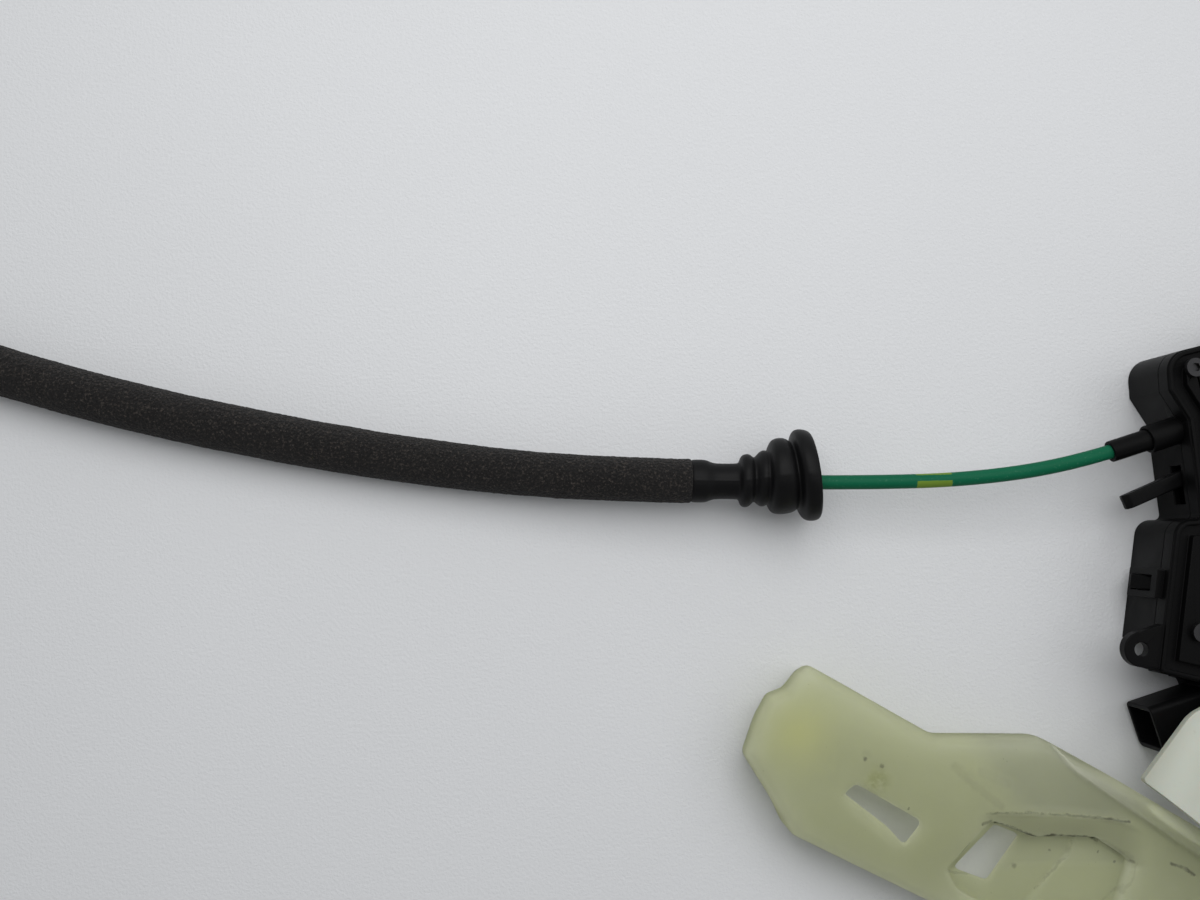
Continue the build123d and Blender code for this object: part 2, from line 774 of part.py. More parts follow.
def latch_body():
    body = slab(plate_face(body_inset), body_x, plate_x)
    body = body - slab(bolt_space(), cavity_x, plate_x + 1)
    channel = Pos(striker_y, (channel_floor + 70) / 2) * Rectangle(striker_gap, 70 - channel_floor)
    body = body - slab(channel, body_x + 2, plate_x + 1)
    for place, radius in ((fork_pivot_place, 9.0), (pawl_pivot_place, 7.6)):
        body = body - bar(place, body_x + 1.5, plate_x + 1, radius)
    for place, radius in ((fork_pivot_place, fork_bore), (pawl_pivot_place, pawl_bore)):
        body = body - bar(place, body_x - 1, plate_x + 1, radius)
    for place in mount_places:
        body = body - bar(place, cavity_x, plate_x + 1, mount_radius + 0.9)
    body = body - switch_block(seat_gap, body_x - 1)
    return body - pin_window(body_x - 1, plate_x + 1)


def back_plate():
    low_y, high_y, low_z, high_z = plate_box
    face = Pos((low_y + high_y) / 2, 29) * RectangleRounded(high_y - low_y - 8, 50, 5)
    for _, y in case_screw_places:
        face = face + Pos(y, (20 + flange_seat()) / 2) * Rectangle(flange_width, flange_seat() - 20)
    bridge = Polygon((low_y + 6, 14), (low_y + 6, 30), (-60.0, 30.0), (-72.0, 30.0), (-72.0, 20.0), align=None)
    plate = slab(face + bridge, back_x, back_x + back_thickness)
    for x, y in case_screw_places:
        flange = block(
            (x - 7, y - flange_width / 2, flange_seat()),
            (back_x + back_thickness, y + flange_width / 2, flange_seat() + flange_high),
        )
        plate = plate + flange - post((x, y), 20, 60, screw_core_radius + 0.8)
    for place, radius in ((fork_pivot_place, fork_bore), (pawl_pivot_place, pawl_bore), (key_pivot, 3.0)):
        plate = plate - bar(place, back_x - 1, body_x + 1, radius)
    return plate - pin_window(back_x - 1, body_x + 1)


def plate_seal():
    """A thin foam gasket round the bolt space, behind the plate's rim."""
    ring = plate_face() - plate_face(body_inset) - striker_slot(striker_rest)
    return slab(ring, plate_x - 2.5, plate_x)


def fork_bolt():
    disc = Circle(fork_radius)
    throat_long = fork_radius + 4 - throat_start
    throat = Pos(throat_start + throat_long / 2, 0) * Rectangle(throat_long, throat_width)
    throat = throat + Pos(throat_start, 0) * Circle(throat_width / 2)
    back = Pos(-fork_radius - 6, 6) * Circle(16)
    fork = Rot(0, 0, fork_open) * (disc - throat - back)
    fork = Pos(*fork_pivot_place) * fork
    start = cavity_x + (cavity_depth - fork_thickness) / 2
    bolt = slab(fork, start, start + fork_thickness)
    bolt = fillet(bolt.edges().filter_by(Axis.X), 0.9)
    return bolt - bar(fork_pivot_place, cavity_x, plate_x, fork_bore + running_gap)


def rivet(place, radius):
    shank = bar(place, back_x - 0.1, face_x, radius)
    return shank + bar(place, back_x - rivet_head_height, back_x, rivet_head)


def pawl_axis_pin():
    """The pawl's rivet runs on behind the back plate and carries the outside lever too."""
    tail = bar(pawl_pivot_place, lever_x - 2.2, back_x, pawl_bore - 0.6)
    head = bar(pawl_pivot_place, lever_x - 2.2, lever_x - moving_gap, rivet_head)
    collar = bar(pawl_pivot_place, lever_x + lever_thickness + moving_gap, back_x, rivet_head - 0.8)
    return bar(pawl_pivot_place, back_x, face_x, pawl_bore) + tail + head + collar


def fork_spring():
    return coil(fork_pivot_place, body_x + 1.5 + spring_wire + 0.1, 3.8, 6.8, 2.5)


def pawl():
    y, z = pawl_pivot_place
    shape = Pos(y, z) * Circle(pawl_hub)
    arm = Pos(y - pawl_reach / 2, z + 0.3) * Rectangle(pawl_reach, 2 * pawl_half_height)
    shape = shape + arm - Pos(*fork_pivot_place) * Circle(fork_radius + moving_gap)
    start = cavity_x + (cavity_depth - pawl_thickness) / 2
    solid = slab(shape, start, start + pawl_thickness)
    solid = solid + bar(pawl_pin_place(), lever_x, start + 1, pawl_pin_radius)
    return solid - bar(pawl_pivot_place, cavity_x, plate_x, pawl_bore + running_gap)


def pawl_spring():
    return coil(pawl_pivot_place, body_x + 1.5 + spring_wire + 0.1, 3.6, 5.9, 2.5)


def overslam_bumper():
    """The rubber block that stops the striker at the bottom of its way in."""
    bumper = block((body_x + 2.2, striker_y - 6.8, channel_floor), (cavity_x, striker_y + 6.8, channel_floor + 4.2))
    return fillet(bumper.edges().filter_by(Axis.X).group_by(Axis.Z)[-1], 1.5)


def outside_lever():
    y, z = pawl_pivot_place
    pin = pawl_pin_place()
    shape = Pos(y, z) * Circle(8) + strip(pawl_pivot_place, lever_end, 10)
    shape = shape + strip(pawl_pivot_place, turned(pawl_pivot_place, pawl_pin_turn, pawl_pin_reach + 1.5), 9)
    shape = shape - Pos(*pin) * Circle(pawl_pin_radius + 0.3)
    lever = slab(shape, lever_x, lever_x + lever_thickness)
    lever = lever - bar(pawl_pivot_place, lever_x - 1, back_x, pawl_bore - 0.6 + running_gap)
    return lever - bar(lever_end, lever_x - 1, back_x, clip_radius)


def rod_clip():
    """A plastic snap bush in the lever's eye, which takes the outside handle's rod."""
    clip = bar(lever_end, lever_x - 2.5, lever_x + lever_thickness + 2, clip_radius)
    clip = clip + bar(lever_end, lever_x - 2.5, lever_x, 4.6)
    y, z = lever_end
    clip = clip + block((lever_x - 2.5, y - 2, z + 2.5), (lever_x, y + 2, z + 9))
    return clip - bar(lever_end, lever_x - 3, back_x, clip_bore)


def key_lever():
    tip = turned(key_pivot, key_turn, key_reach)
    shape = Pos(*key_pivot) * Circle(6.5) + strip(key_pivot, tip, 8)
    lever = slab(shape, lever_x, lever_x + lever_thickness)
    lever = lever - bar(key_pivot, lever_x - 1, back_x, 3.0 + running_gap)
    return lever - bar(tip, lever_x - 1, back_x, key_eye_radius)


def key_lever_pin():
    """A shouldered rivet from the back plate, with a head outside the lever."""
    pin = bar(key_pivot, lever_x - 1.6, body_x, 3.0)
    collar = bar(key_pivot, lever_x + lever_thickness + moving_gap, back_x, 5.0)
    return pin + collar + bar(key_pivot, lever_x - 1.6, lever_x - moving_gap, 5.0)


def latch_switch():
    """The small switch that reports an open door, beside the bolt's hollow."""
    return switch_block(0, body_x)


def switch_block(gap, start):
    """The switch's outline, with a gap round it for its pocket."""
    (low_y, high_y), (low_z, high_z) = switch_span
    return block((start, low_y - gap, low_z - gap), (body_x + switch_depth, high_y + gap, high_z + gap))


def connector_pins():
    pins = []
    pin = Box(pin_side, pin_side, connector_depth + 6, align=(Align.CENTER, Align.CENTER, Align.MIN))
    for row in range(pin_rows):
        for number in range(pins_per_row):
            up = (row - (pin_rows - 1) / 2) * pin_pitch
            side = (number - (pins_per_row - 1) / 2) * pin_pitch
            pins.append(connector_frame(5) * Pos(up, side, 0) * pin)
    return pins


def connector_seal():
    """A rubber ring seated at the bottom of the socket."""
    ring = shroud_block(connector_wall, connector_depth - 2, connector_depth)
    return ring - shroud_block(connector_wall + 1.2, 0, connector_depth + 1)


def guard():
    face = outline(guard_edge, guard_rounds)
    shell = prism(face, 0, guard_height)
    shell = fillet(shell.edges().group_by(Axis.Z)[-1], guard_edge_round)
    shell = shell - prism(offset(face, -guard_wall), -1, guard_height - guard_wall)
    for slot in (slot_one, slot_two):
        hole = Polygon(*slot, align=None)
        low = guard_height - slot_wall_drop
        shell = shell + prism(offset(hole, 1.6), low, guard_height)
    floor = Polygon(*recess_edge, align=None)
    low = guard_height - recess_depth
    shell = shell + prism(offset(floor, guard_wall), low - guard_wall, guard_height - 0.5)
    shell = shell - prism(floor, low, guard_height + 1)
    for slot in (slot_one, slot_two):
        shell = shell - prism(Polygon(*slot, align=None), -1, guard_height + 1)
    shell = shell + (guard_rib() & prism(face, 0, guard_height + rib_height))
    boss = post(guard_boss, guard_height - 1, arm_low, guard_boss_radius)
    shell = shell + boss + post(guard_boss, 0, guard_height, guard_boss_radius)
    return shell - post(guard_boss, 10, 60, screw_core_radius)


def guard_rib():
    """The raised edge that widens along the guard's upper right side."""
    face = Polygon(rib_start, (238.0, -150.0), (233.0, -160.0), (176.0, -121.0), (160.0, -110.0), align=None)
    return prism(face, guard_height - 1, guard_height + rib_height)


def guard_arm():
    """A shield that is flat where it is screwed down and curves down to its left edge."""
    across = turned((0, 0), arm_turn - 90, 1)
    along = turned((0, 0), arm_turn + 180, 1)
    frame = Plane(origin=(*arm_crest, arm_low), x_dir=(*across, 0), z_dir=(*along, 0))
    ring = Circle(arm_bend) - Circle(arm_bend - arm_thickness)
    bend = Pos(0, arm_thickness - arm_bend) * ring
    bend = bend & Pos(-arm_bend, 0) * Rectangle(2 * arm_bend, 2 * arm_bend * math.sin(math.radians(arm_sweep)))
    flat = Pos(50, arm_thickness / 2) * Rectangle(100, arm_thickness)
    band = extrude(frame * (flat + bend), 90, both=True)
    arm = band & prism(outline(arm_edge, arm_rounds), 0, 60)
    for place in (guard_boss, arm_case_place):
        arm = arm - post(place, 0, 60, screw_core_radius + 0.3)
    return arm


def guard_screws():
    top = arm_low + arm_thickness
    places = ((guard_boss, 12), (arm_case_place, cover_under))
    return [screw(place, low, top, screw_core_radius, 4.0, 2.6) for place, low in places]


def pieces():
    return {
        "latch_plate": latch_plate(), "latch_body": latch_body(), "back_plate": back_plate(),
        "plate_seal": plate_seal(), "fork_bolt": fork_bolt(), "fork_pivot": rivet(fork_pivot_place, fork_bore),
        "fork_spring": fork_spring(), "pawl": pawl(), "pawl_pivot": pawl_axis_pin(), "pawl_spring": pawl_spring(),
        "overslam_bumper": overslam_bumper(), "outside_lever": outside_lever(), "rod_clip": rod_clip(),
        "key_lever": key_lever(), "key_lever_pin": key_lever_pin(), "latch_switch": latch_switch(),
        "actuator_case": actuator_case(), "actuator_cover": actuator_cover(), "cover_seal": cover_seal(),
        "cover_screws": cover_screws(), "case_to_latch_screws": case_to_latch_screws(),
        "motor_can": motor_can(), "motor_end_cap": motor_end_cap(), "motor_contacts": motor_contacts(),
        "drive_worm": drive_worm(), "worm_wheel": worm_wheel(), "wheel_axle": wheel_axle(),
        "lock_lever": lock_lever(), "lock_lever_pin": lock_lever_pin(), "lock_detent_spring": lock_detent_spring(),
        "lever_stop": lever_stop(), "inside_lever": inside_lever(), "inside_lever_pin": inside_lever_pin(),
        "inside_lever_spring": inside_lever_spring(), "connector_pins": connector_pins(),
        "connector_seal": connector_seal(), "case_end_ferrule": case_end_ferrule(),
        "wire_latch_end": wire_latch_end(), "cable_conduit": cable_conduit(), "foam_sleeve": foam_sleeve(),
        "grommet": grommet(), "handle_end_ferrule": handle_end_ferrule(), "wire_handle_end": wire_handle_end(),
        "guard": guard(), "guard_arm": guard_arm(), "guard_screws": guard_screws(),
    }


cord_pieces = ("cable_conduit", "foam_sleeve", "grommet", "handle_end_ferrule", "wire_handle_end")


def floor_origin(made):
    """The middle of the latch's footprint, without the cable, on the surface it lies on."""
    solids = []
    for name, shape in made.items():
        if name not in cord_pieces:
            solids += shape if isinstance(shape, list) else [shape]
    box = Compound(children=[Compound(solid.solids()) for solid in solids]).bounding_box()
    return Vector((box.min.X + box.max.X) / 2, (box.min.Y + box.max.Y) / 2, box.min.Z)


def main():
    os.makedirs("parts", exist_ok=True)
    made = pieces()
    origin = floor_origin(made)
    print("origin", [round(value, 4) for value in origin])
    for name, shape in made.items():
        group = shape if isinstance(shape, list) else [shape]
        solids = [solid for member in group for solid in member.solids()]
        shape = solids[0] if len(solids) == 1 else Compound(solids)
        export_step(Pos(-origin) * shape, f"parts/{name}.step")


if __name__ == "__main__":
    main()
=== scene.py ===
import json
import math

import bmesh
import bpy
from mathutils import Matrix, Vector, noise


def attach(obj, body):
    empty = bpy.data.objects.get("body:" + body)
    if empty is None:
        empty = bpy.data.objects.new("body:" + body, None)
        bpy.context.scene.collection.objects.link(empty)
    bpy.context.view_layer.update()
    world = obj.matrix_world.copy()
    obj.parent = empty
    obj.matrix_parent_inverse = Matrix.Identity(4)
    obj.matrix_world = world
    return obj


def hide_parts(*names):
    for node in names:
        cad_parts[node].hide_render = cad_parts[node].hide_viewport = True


# Side door latch, its release cable and its guard, on a pale table. Metres, seen from above.

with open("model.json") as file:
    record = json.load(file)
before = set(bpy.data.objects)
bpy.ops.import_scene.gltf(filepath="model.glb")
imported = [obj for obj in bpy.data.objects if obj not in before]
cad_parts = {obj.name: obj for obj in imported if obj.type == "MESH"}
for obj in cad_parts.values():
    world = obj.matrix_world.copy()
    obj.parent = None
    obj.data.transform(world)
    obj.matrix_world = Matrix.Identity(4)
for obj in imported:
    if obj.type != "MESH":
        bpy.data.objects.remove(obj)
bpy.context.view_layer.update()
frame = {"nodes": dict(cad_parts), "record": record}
nodes = frame["nodes"]
scene = bpy.context.scene
bodyOf = {node: body for body, group in frame["record"]["behaviour"]["bodies"].items() for node in group}
slotOf = {part["node"]: part["material_slot"] for part in frame["record"]["subparts"]}
print("frame loaded:", len(nodes), "nodes")


# Shader values that Python's own operators work on
class Value:
    def __init__(self, finish, socket):
        self.finish, self.socket = finish, socket

    def math(self, operation, *others):
        return self.finish.node("ShaderNodeMath", {"operation": operation}, [self, *others])

    def __add__(self, other):
        return self.math("ADD", other)

    def __mul__(self, other):
        return self.math("MULTIPLY", other)

    def __sub__(self, other):
        return self.math("SUBTRACT", other)

    def __rsub__(self, other):
        return self.finish.node("ShaderNodeMath", {"operation": "SUBTRACT"}, [other, self])

    def __truediv__(self, other):
        return self.math("DIVIDE", other)

    __radd__ = __add__
    __rmul__ = __mul__


# One material, or the sky; every node of it comes from node()
class Finish:
    def __init__(self, name, kind="materials", place="Object"):
        self.owner = getattr(bpy.data, kind).new(name)
        self.owner.use_nodes = True
        self.tree = self.owner.node_tree
        self.tree.nodes.clear()
        self.place = self.node("ShaderNodeTexCoord", output=place)
        axes = [self.node("ShaderNodeSeparateXYZ", {}, [self.place], axis) for axis in "XYZ"]
        self.x, self.y, self.z = axes

    def node(self, kind, settings=None, inputs=(), output=0):
        made = self.tree.nodes.new(kind)
        for key, value in (settings or {}).items():
            setattr(made, key, value)
        for key, value in inputs.items() if isinstance(inputs, dict) else enumerate(inputs):
            if isinstance(value, Value):
                self.tree.links.new(value.socket, made.inputs[key])
            else:
                made.inputs[key].default_value = value
        return Value(self, made.outputs[output])

    def cloud(self, scale, detail=3.0, roughness=0.55, place=None):
        inputs = {"Vector": place or self.place, "Scale": scale, "Detail": detail, "Roughness": roughness}
        return self.node("ShaderNodeTexNoise", {}, inputs, "Fac")

    def cells(self, scale):
        inputs = {"Vector": self.place, "Scale": scale}
        return self.node("ShaderNodeTexVoronoi", {}, inputs, "Distance")

    def stretched(self, x, y, z, turn=0.0):
        inputs = {"Vector": self.place, "Scale": (x, y, z), "Rotation": (0, 0, math.radians(turn))}
        return self.node("ShaderNodeMapping", {}, inputs)

    def step(self, value, low, high, start=0.0, end=1.0):  # eases from start at low to end at high
        inputs = {"Value": value, "From Min": low, "From Max": high, "To Min": start, "To Max": end}
        return self.node("ShaderNodeMapRange", {"interpolation_type": "SMOOTHSTEP"}, inputs)

    def mix(self, mask, first, second):
        inputs = {0: mask, 6: first, 7: second}
        return self.node("ShaderNodeMix", {"data_type": "RGBA"}, inputs, 2)

    def spot(self, centre, radius, soft):  # 1 within the radius of a point
        far = self.node("ShaderNodeVectorMath", {"operation": "DISTANCE"}, [self.place, centre], "Value")
        return self.step(far, radius + soft, radius - soft)

    def length(self, x, y):
        return (x.math("POWER", 2.0) + y.math("POWER", 2.0)).math("SQRT")

    def bump(self, height, distance):
        inputs = {"Height": height, "Distance": distance, "Strength": 1.0}
        return self.node("ShaderNodeBump", {}, inputs)

    def shade(self, colour, roughness, bump=None, through=None, **constants):
        inputs = {"Base Color": colour, "Roughness": roughness}
        inputs.update((key.replace("_", " "), value) for key, value in constants.items())
        if bump is not None:
            inputs["Normal"] = bump
        surface = self.node("ShaderNodeBsdfPrincipled", {}, inputs)
        if through:  # light that the wall lets through
            tint, share = through
            glow = self.node("ShaderNodeBsdfTranslucent", {}, {"Color": tint})
            surface = self.node("ShaderNodeMixShader", {}, [share, surface, glow])
        return self.close(surface, "ShaderNodeOutputMaterial")

    def close(self, surface, kind):
        made = self.tree.nodes.new(kind)
        self.tree.links.new(surface.socket, made.inputs["Surface"])
        return self.owner


def colour(red, green, blue):
    return (red, green, blue, 1.0)


# Camera, straight down but for a few degrees
view = {
    "place": (-0.18737, 0.03979, 0.4384),
    "target": (-0.16237, 0.06779, 0.0),
    "lens": 36.96,
    "sensor": 36.0,
}


def makeCamera():
    camera = bpy.data.objects.new("camera", bpy.data.cameras.new("camera"))
    camera.data.lens, camera.data.sensor_width = view["lens"], view["sensor"]
    camera.data.clip_start = 0.01
    ahead = (Vector(view["target"]) - Vector(view["place"])).normalized()
    right = ahead.cross(Vector((0, 1, 0))).normalized()
    turn = Matrix((right, right.cross(ahead), -ahead)).transposed()
    camera.matrix_world = Matrix.Translation(view["place"]) @ turn.to_4x4()
    scene.collection.objects.link(camera)
    scene.camera = camera


makeCamera()
print("camera made")


# Pieces
millimetre = 0.001
mergeGap = 2e-6  # points of a CAD mesh nearer than this are one
seamGap = 1e-7  # the same for a shape made here
sharpAngle = math.radians(40)


def newPiece(name, data, material, node):  # shown in place of a CAD node, on its body
    piece = bpy.data.objects.new(name, data)
    scene.collection.objects.link(piece)
    data.materials.clear()
    data.materials.append(material)
    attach(piece, bodyOf[node])
    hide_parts(node)
    return piece


def meshOf(shape, name):
    bmesh.ops.remove_doubles(shape, verts=shape.verts, dist=seamGap)
    bmesh.ops.recalc_face_normals(shape, faces=shape.faces)
    mesh = bpy.data.meshes.new(name)
    shape.to_mesh(mesh)
    shape.free()
    mesh.shade_smooth()
    return mesh


def ease(value, low, high):  # 0 at low, 1 at high, smooth between
    share = min(1.0, max(0.0, (value - low) / (high - low)))
    return share * share * (3 - 2 * share)


# Cable: the conduit, the foam sleeve and the grommet on it
cable = {
    "route": (
        (0.02048, 0.06831, 0.0200), (0.00063, 0.06194, 0.0200), (-0.03437, 0.05679, 0.0175),
        (-0.07237, 0.05569, 0.0164), (-0.11237, 0.05599, 0.0152), (-0.15037, 0.05649, 0.0136),
        (-0.19237, 0.05889, 0.0094), (-0.23637, 0.06439, 0.0080), (-0.28037, 0.07199, 0.0080),
        (-0.32537, 0.08169, 0.0080), (-0.36937, 0.09369, 0.0080), (-0.41237, 0.10829, 0.0080),
        (-0.45337, 0.12529, 0.0038), (-0.48637, 0.14279, 0.0040), (-0.50437, 0.15429, 0.0040),
    ),
    "radius": 0.0025,
    "length": 0.544,
    "green": ((0.002, 0.080, 0.036), (0.005, 0.122, 0.060)),
    "scuffs": (0.10, 0.26, 0.17),
    "paint": ((0.10, 0.19, 0.018), (0.17, 0.25, 0.035)),
    "paintEnds": (-0.0530, -0.0407),  # X
    "paintEdge": 0.0003,
    "paintMiddle": (-0.047, 0.0563, 0.025),  # X and Y of the line under the ring, and its slope
    "paintBare": ((0.12, 0.04), (0.88, 0.94)),  # the ring is bare between these shares of the radius
    "paintUnder": (0.0168, 0.0164),  # but painted all round below this height
}
sleeve = {
    "ends": (-0.13137, -0.39087),  # X
    "nearRadius": 0.00765,
    "farRadius": 0.0083,
    "wideFrom": 0.6,  # share of its length at which it is as wide as at the far end
    "bore": 0.0026,
    "ringEvery": 0.0007,
    "around": 72,
    "lumps": ((90, 0.00016), (900, 0.00016), (2100, 0.00008)),  # how fine, how high
    "rims": (0.0, 0.55, 0.9, 0.985),  # shares of the outside radius round an end; 0 is the bore
}
grommet = {
    "base": (-0.13137, 0.05624, 0.0144),
    "towards": (-0.11237, 0.05599, 0.0152),
    "profile": (  # along the axis, radius, in millimetres
        (1.0, 2.45), (-0.6, 2.6), (-0.6, 6.6), (0.0, 7.35), (0.6, 7.45), (3.6, 7.45), (4.9, 7.35),
        (7.0, 6.4), (8.4, 6.15), (15.4, 6.15), (16.2, 6.4), (16.6, 7.6), (17.1, 8.8), (18.2, 9.25),
        (19.6, 9.2), (20.6, 8.4), (21.2, 7.7), (21.9, 7.8), (22.8, 8.9), (23.8, 9.65), (25.0, 9.8),
        (25.9, 9.3), (26.3, 9.7), (26.7, 11.2), (27.6, 12.6), (29.0, 13.2), (31.0, 13.35), (33.2, 13.1),
        (34.6, 12.2), (35.3, 11.6), (35.9, 12.6), (36.3, 14.4), (37.1, 15.5), (38.6, 15.95), (40.4, 15.85),
        (41.9, 15.3), (42.5, 14.5), (41.6, 12.6), (40.4, 10.6), (39.8, 8.0), (39.8, 5.4), (40.6, 4.6),
        (42.0, 4.3), (42.0, 2.6), (40.0, 2.45),
    ),
    "around": 96,
    "skew": 7.7,  # degrees that the flange leans
    "skewOver": (24.0, 36.0),
    "seam": 0.00012,  # the mould's parting line stands out by this
    "seamWidth": 1e-5,
    "seamFrom": 0.0055,
    "slack": (0.003, 0.008),  # radii between which the rubber begins to lean and hang
    "aside": 0.0026,  # how far the slack bellows hang to one side at the flange
    "asideOver": (13.0, 37.0),
}


def nurbsCurve(name, points):
    curve = bpy.data.curves.new(name, "CURVE")
    curve.dimensions = "3D"
    line = curve.splines.new("NURBS")
    line.points.add(len(points) - 1)
    for knot, point in zip(line.points, points):
        knot.co = (*point, 1.0)
    line.order_u = 3
    line.use_endpoint_u = True
    curve.resolution_u = 24
    return curve


def lineOf(points):  # the points that the cable's own spline passes through
    guide = bpy.data.objects.new("guide", nurbsCurve("guide", points))
    mesh = bpy.data.meshes.new_from_object(guide)
    line = [vertex.co.copy() for vertex in mesh.vertices]
    bpy.data.objects.remove(guide)
    bpy.data.meshes.remove(mesh)
    return line


def stations(line, startX, endX, every):  # evenly spaced places along the line between two X values
    distances = [0.0]
    for first, second in zip(line, line[1:]):
        distances.append(distances[-1] + (second - first).length)

    def distanceAt(x):
        for k in range(len(line) - 1):
            if line[k].x >= x >= line[k + 1].x:
                share = (line[k].x - x) / (line[k].x - line[k + 1].x)
                return distances[k] + share * (distances[k + 1] - distances[k])

    start, end = distanceAt(startX), distanceAt(endX)
    count = round((end - start) / every)
    found, k = [], 0
    for step in range(count + 1):
        wanted = start + (end - start) * step / count
        while distances[k + 1] < wanted:
            k += 1
        share = (wanted - distances[k]) / (distances[k + 1] - distances[k])
        found.append((line[k].lerp(line[k + 1], share), (line[k + 1] - line[k]).normalized()))
    return found


def frameAt(place, along):  # X along the line, Z as near up as it can be
    side = Vector((0, 0, 1)).cross(along).normalized()
    return Matrix.Translation(place) @ Matrix((along, side, along.cross(side))).transposed().to_4x4()


def makeSleeve(line, material):
    spots = stations(line, *sleeve["ends"], sleeve["ringEvery"])
    last = len(spots) - 1
    # Rings from one bore over the outside to the other: station, and share of the outside radius
    bore, inner, outer, brim = sleeve["rims"]
    end = [(6, bore), (2, bore), (0, bore), (0, inner), (0, outer), (1, brim)]
    rings = end + [(k, 1.0) for k in range(2, last - 1)] + [(last - k, share) for k, share in reversed(end)]
    shape = bmesh.new()
    ring = bmesh.ops.create_circle(shape, segments=sleeve["around"], radius=1.0)["verts"]
    angles = [math.atan2(vertex.co.y, vertex.co.x) for vertex in ring]
    edges = list(shape.edges)
    for order, (station, share) in enumerate(rings):
        if order:
            made = bmesh.ops.extrude_edge_only(shape, edges=edges)["geom"]
            ring = [item for item in made if isinstance(item, bmesh.types.BMVert)]
            edges = [item for item in made if isinstance(item, bmesh.types.BMEdge) and item.is_boundary]
        wider = ease(station / last, 0.0, sleeve["wideFrom"])
        outside = sleeve["nearRadius"] + (sleeve["farRadius"] - sleeve["nearRadius"]) * wider
        radius = share * outside or sleeve["bore"]
        turn = frameAt(*spots[station])
        for vertex, angle in zip(ring, angles):
            place = turn @ Vector((0, radius * math.cos(angle), radius * math.sin(angle)))
            if share:
                out = (place - spots[station][0]).normalized()
                place += out * sum(high * noise.noise(place * fine) for fine, high in sleeve["lumps"])
            place.z = max(place.z, 0.0)
            vertex.co = place
    return newPiece("foamSleeve", meshOf(shape, "foamSleeve"), material, "foam_sleeve")


def makeGrommet(material):
    base = Vector(grommet["base"])
    along = (Vector(grommet["towards"]) - base).normalized()
    shape = bmesh.new()
    profile = [(x * millimetre, 0, radius * millimetre) for x, radius in grommet["profile"]]
    chain = [shape.verts.new(point) for point in profile]
    edges = [shape.edges.new(pair) for pair in zip(chain, chain[1:])]
    bmesh.ops.spin(shape, geom=chain + edges, cent=(0, 0, 0), axis=(1, 0, 0), dvec=(0, 0, 0),
                   angle=2 * math.pi, steps=grommet["around"], use_merge=True)
    slope = math.tan(math.radians(grommet["skew"]))
    for vertex in shape.verts:
        radius = math.hypot(vertex.co.y, vertex.co.z)
        if abs(vertex.co.y) < grommet["seamWidth"] and radius > grommet["seamFrom"]:
            vertex.co.z += math.copysign(grommet["seam"], vertex.co.z)
        share = ease(vertex.co.x / millimetre, *grommet["skewOver"])
        outer = ease(radius, *grommet["slack"])
        vertex.co.x -= slope * vertex.co.y * share * outer
        vertex.co.y += grommet["aside"] * ease(vertex.co.x / millimetre, *grommet["asideOver"]) * outer
    shape.transform(frameAt(base, along))
    piece = newPiece("bellowsGrommet", meshOf(shape, "bellowsGrommet"), material, "grommet")
    soften = piece.modifiers.new("soften", "SUBSURF")
    soften.levels = soften.render_levels = 1
    return piece


def makeConduit(material):
    curve = nurbsCurve("cableConduit", cable["route"])
    curve.bevel_depth = cable["radius"]
    curve.bevel_resolution = 8
    curve.use_fill_caps = True
    curve.resolution_u = 32
    return newPiece("cableConduit", curve, material, "cable_conduit")


def conduitFinish():
    finish = Finish("greenConduit")
    streak = finish.cloud(60, 3, 0.6, finish.stretched(0.25, 6, 6, 4))
    speck = finish.step(finish.cloud(1500, 2, 0.5), 0.62, 0.72)
    green = finish.mix(streak, *(colour(*tone) for tone in cable["green"]))
    green = finish.mix(speck * 0.25, green, colour(*cable["scuffs"]))
    # A paint ring with its top left bare
    middleX, middleY, slope = cable["paintMiddle"]
    across = (finish.y - middleY - (finish.x - middleX) * slope) / cable["radius"]
    along = finish.x + finish.cloud(900, 2, 0.5) * 0.0012
    start, end = cable["paintEnds"]
    span = finish.step(along, start, start + cable["paintEdge"])
    span = span * finish.step(along, end + cable["paintEdge"], end)
    ragged = across + finish.cloud(1200, 2, 0.5) * 0.12
    lower, upper = (finish.step(ragged, *edge) for edge in cable["paintBare"])
    painted = lower.math("MAXIMUM", upper).math("MAXIMUM", finish.step(finish.z, *cable["paintUnder"]))
    mask = span * painted
    paint = finish.mix(streak, *(colour(*tone) for tone in cable["paint"]))
    shade = finish.mix(mask, green, paint)
    height = finish.cloud(2500, 2, 0.5) * 0.15 + streak * 0.4 + mask * 0.5
    return finish.shade(shade, 0.38 + streak * 0.16, finish.bump(height, 0.00005),
                        Specular_IOR_Level=0.10)


def foamFinish():
    finish = Finish("foam")
    cells = finish.cells(950)
    fine = finish.cloud(1150, 4, 0.7)
    wide = finish.cloud(70, 3, 0.6)
    dark = finish.mix(wide, colour(0.0036, 0.0033, 0.0034), colour(0.0088, 0.0080, 0.0078))
    lit = finish.step(fine, 0.50, 0.72)
    shade = finish.mix(lit * 0.7, dark, colour(0.074, 0.062, 0.053))
    spark = finish.step(finish.cloud(2400, 2, 0.5), 0.68, 0.75)
    shade = finish.mix(spark * 0.5, shade, colour(0.16, 0.15, 0.14))
    height = cells * 0.7 + fine * 0.8
    return finish.shade(shade, 0.88 - spark * 0.35, finish.bump(height, 0.0008),
                        Specular_IOR_Level=0.22, Sheen_Weight=0.04, Sheen_Roughness=0.6)


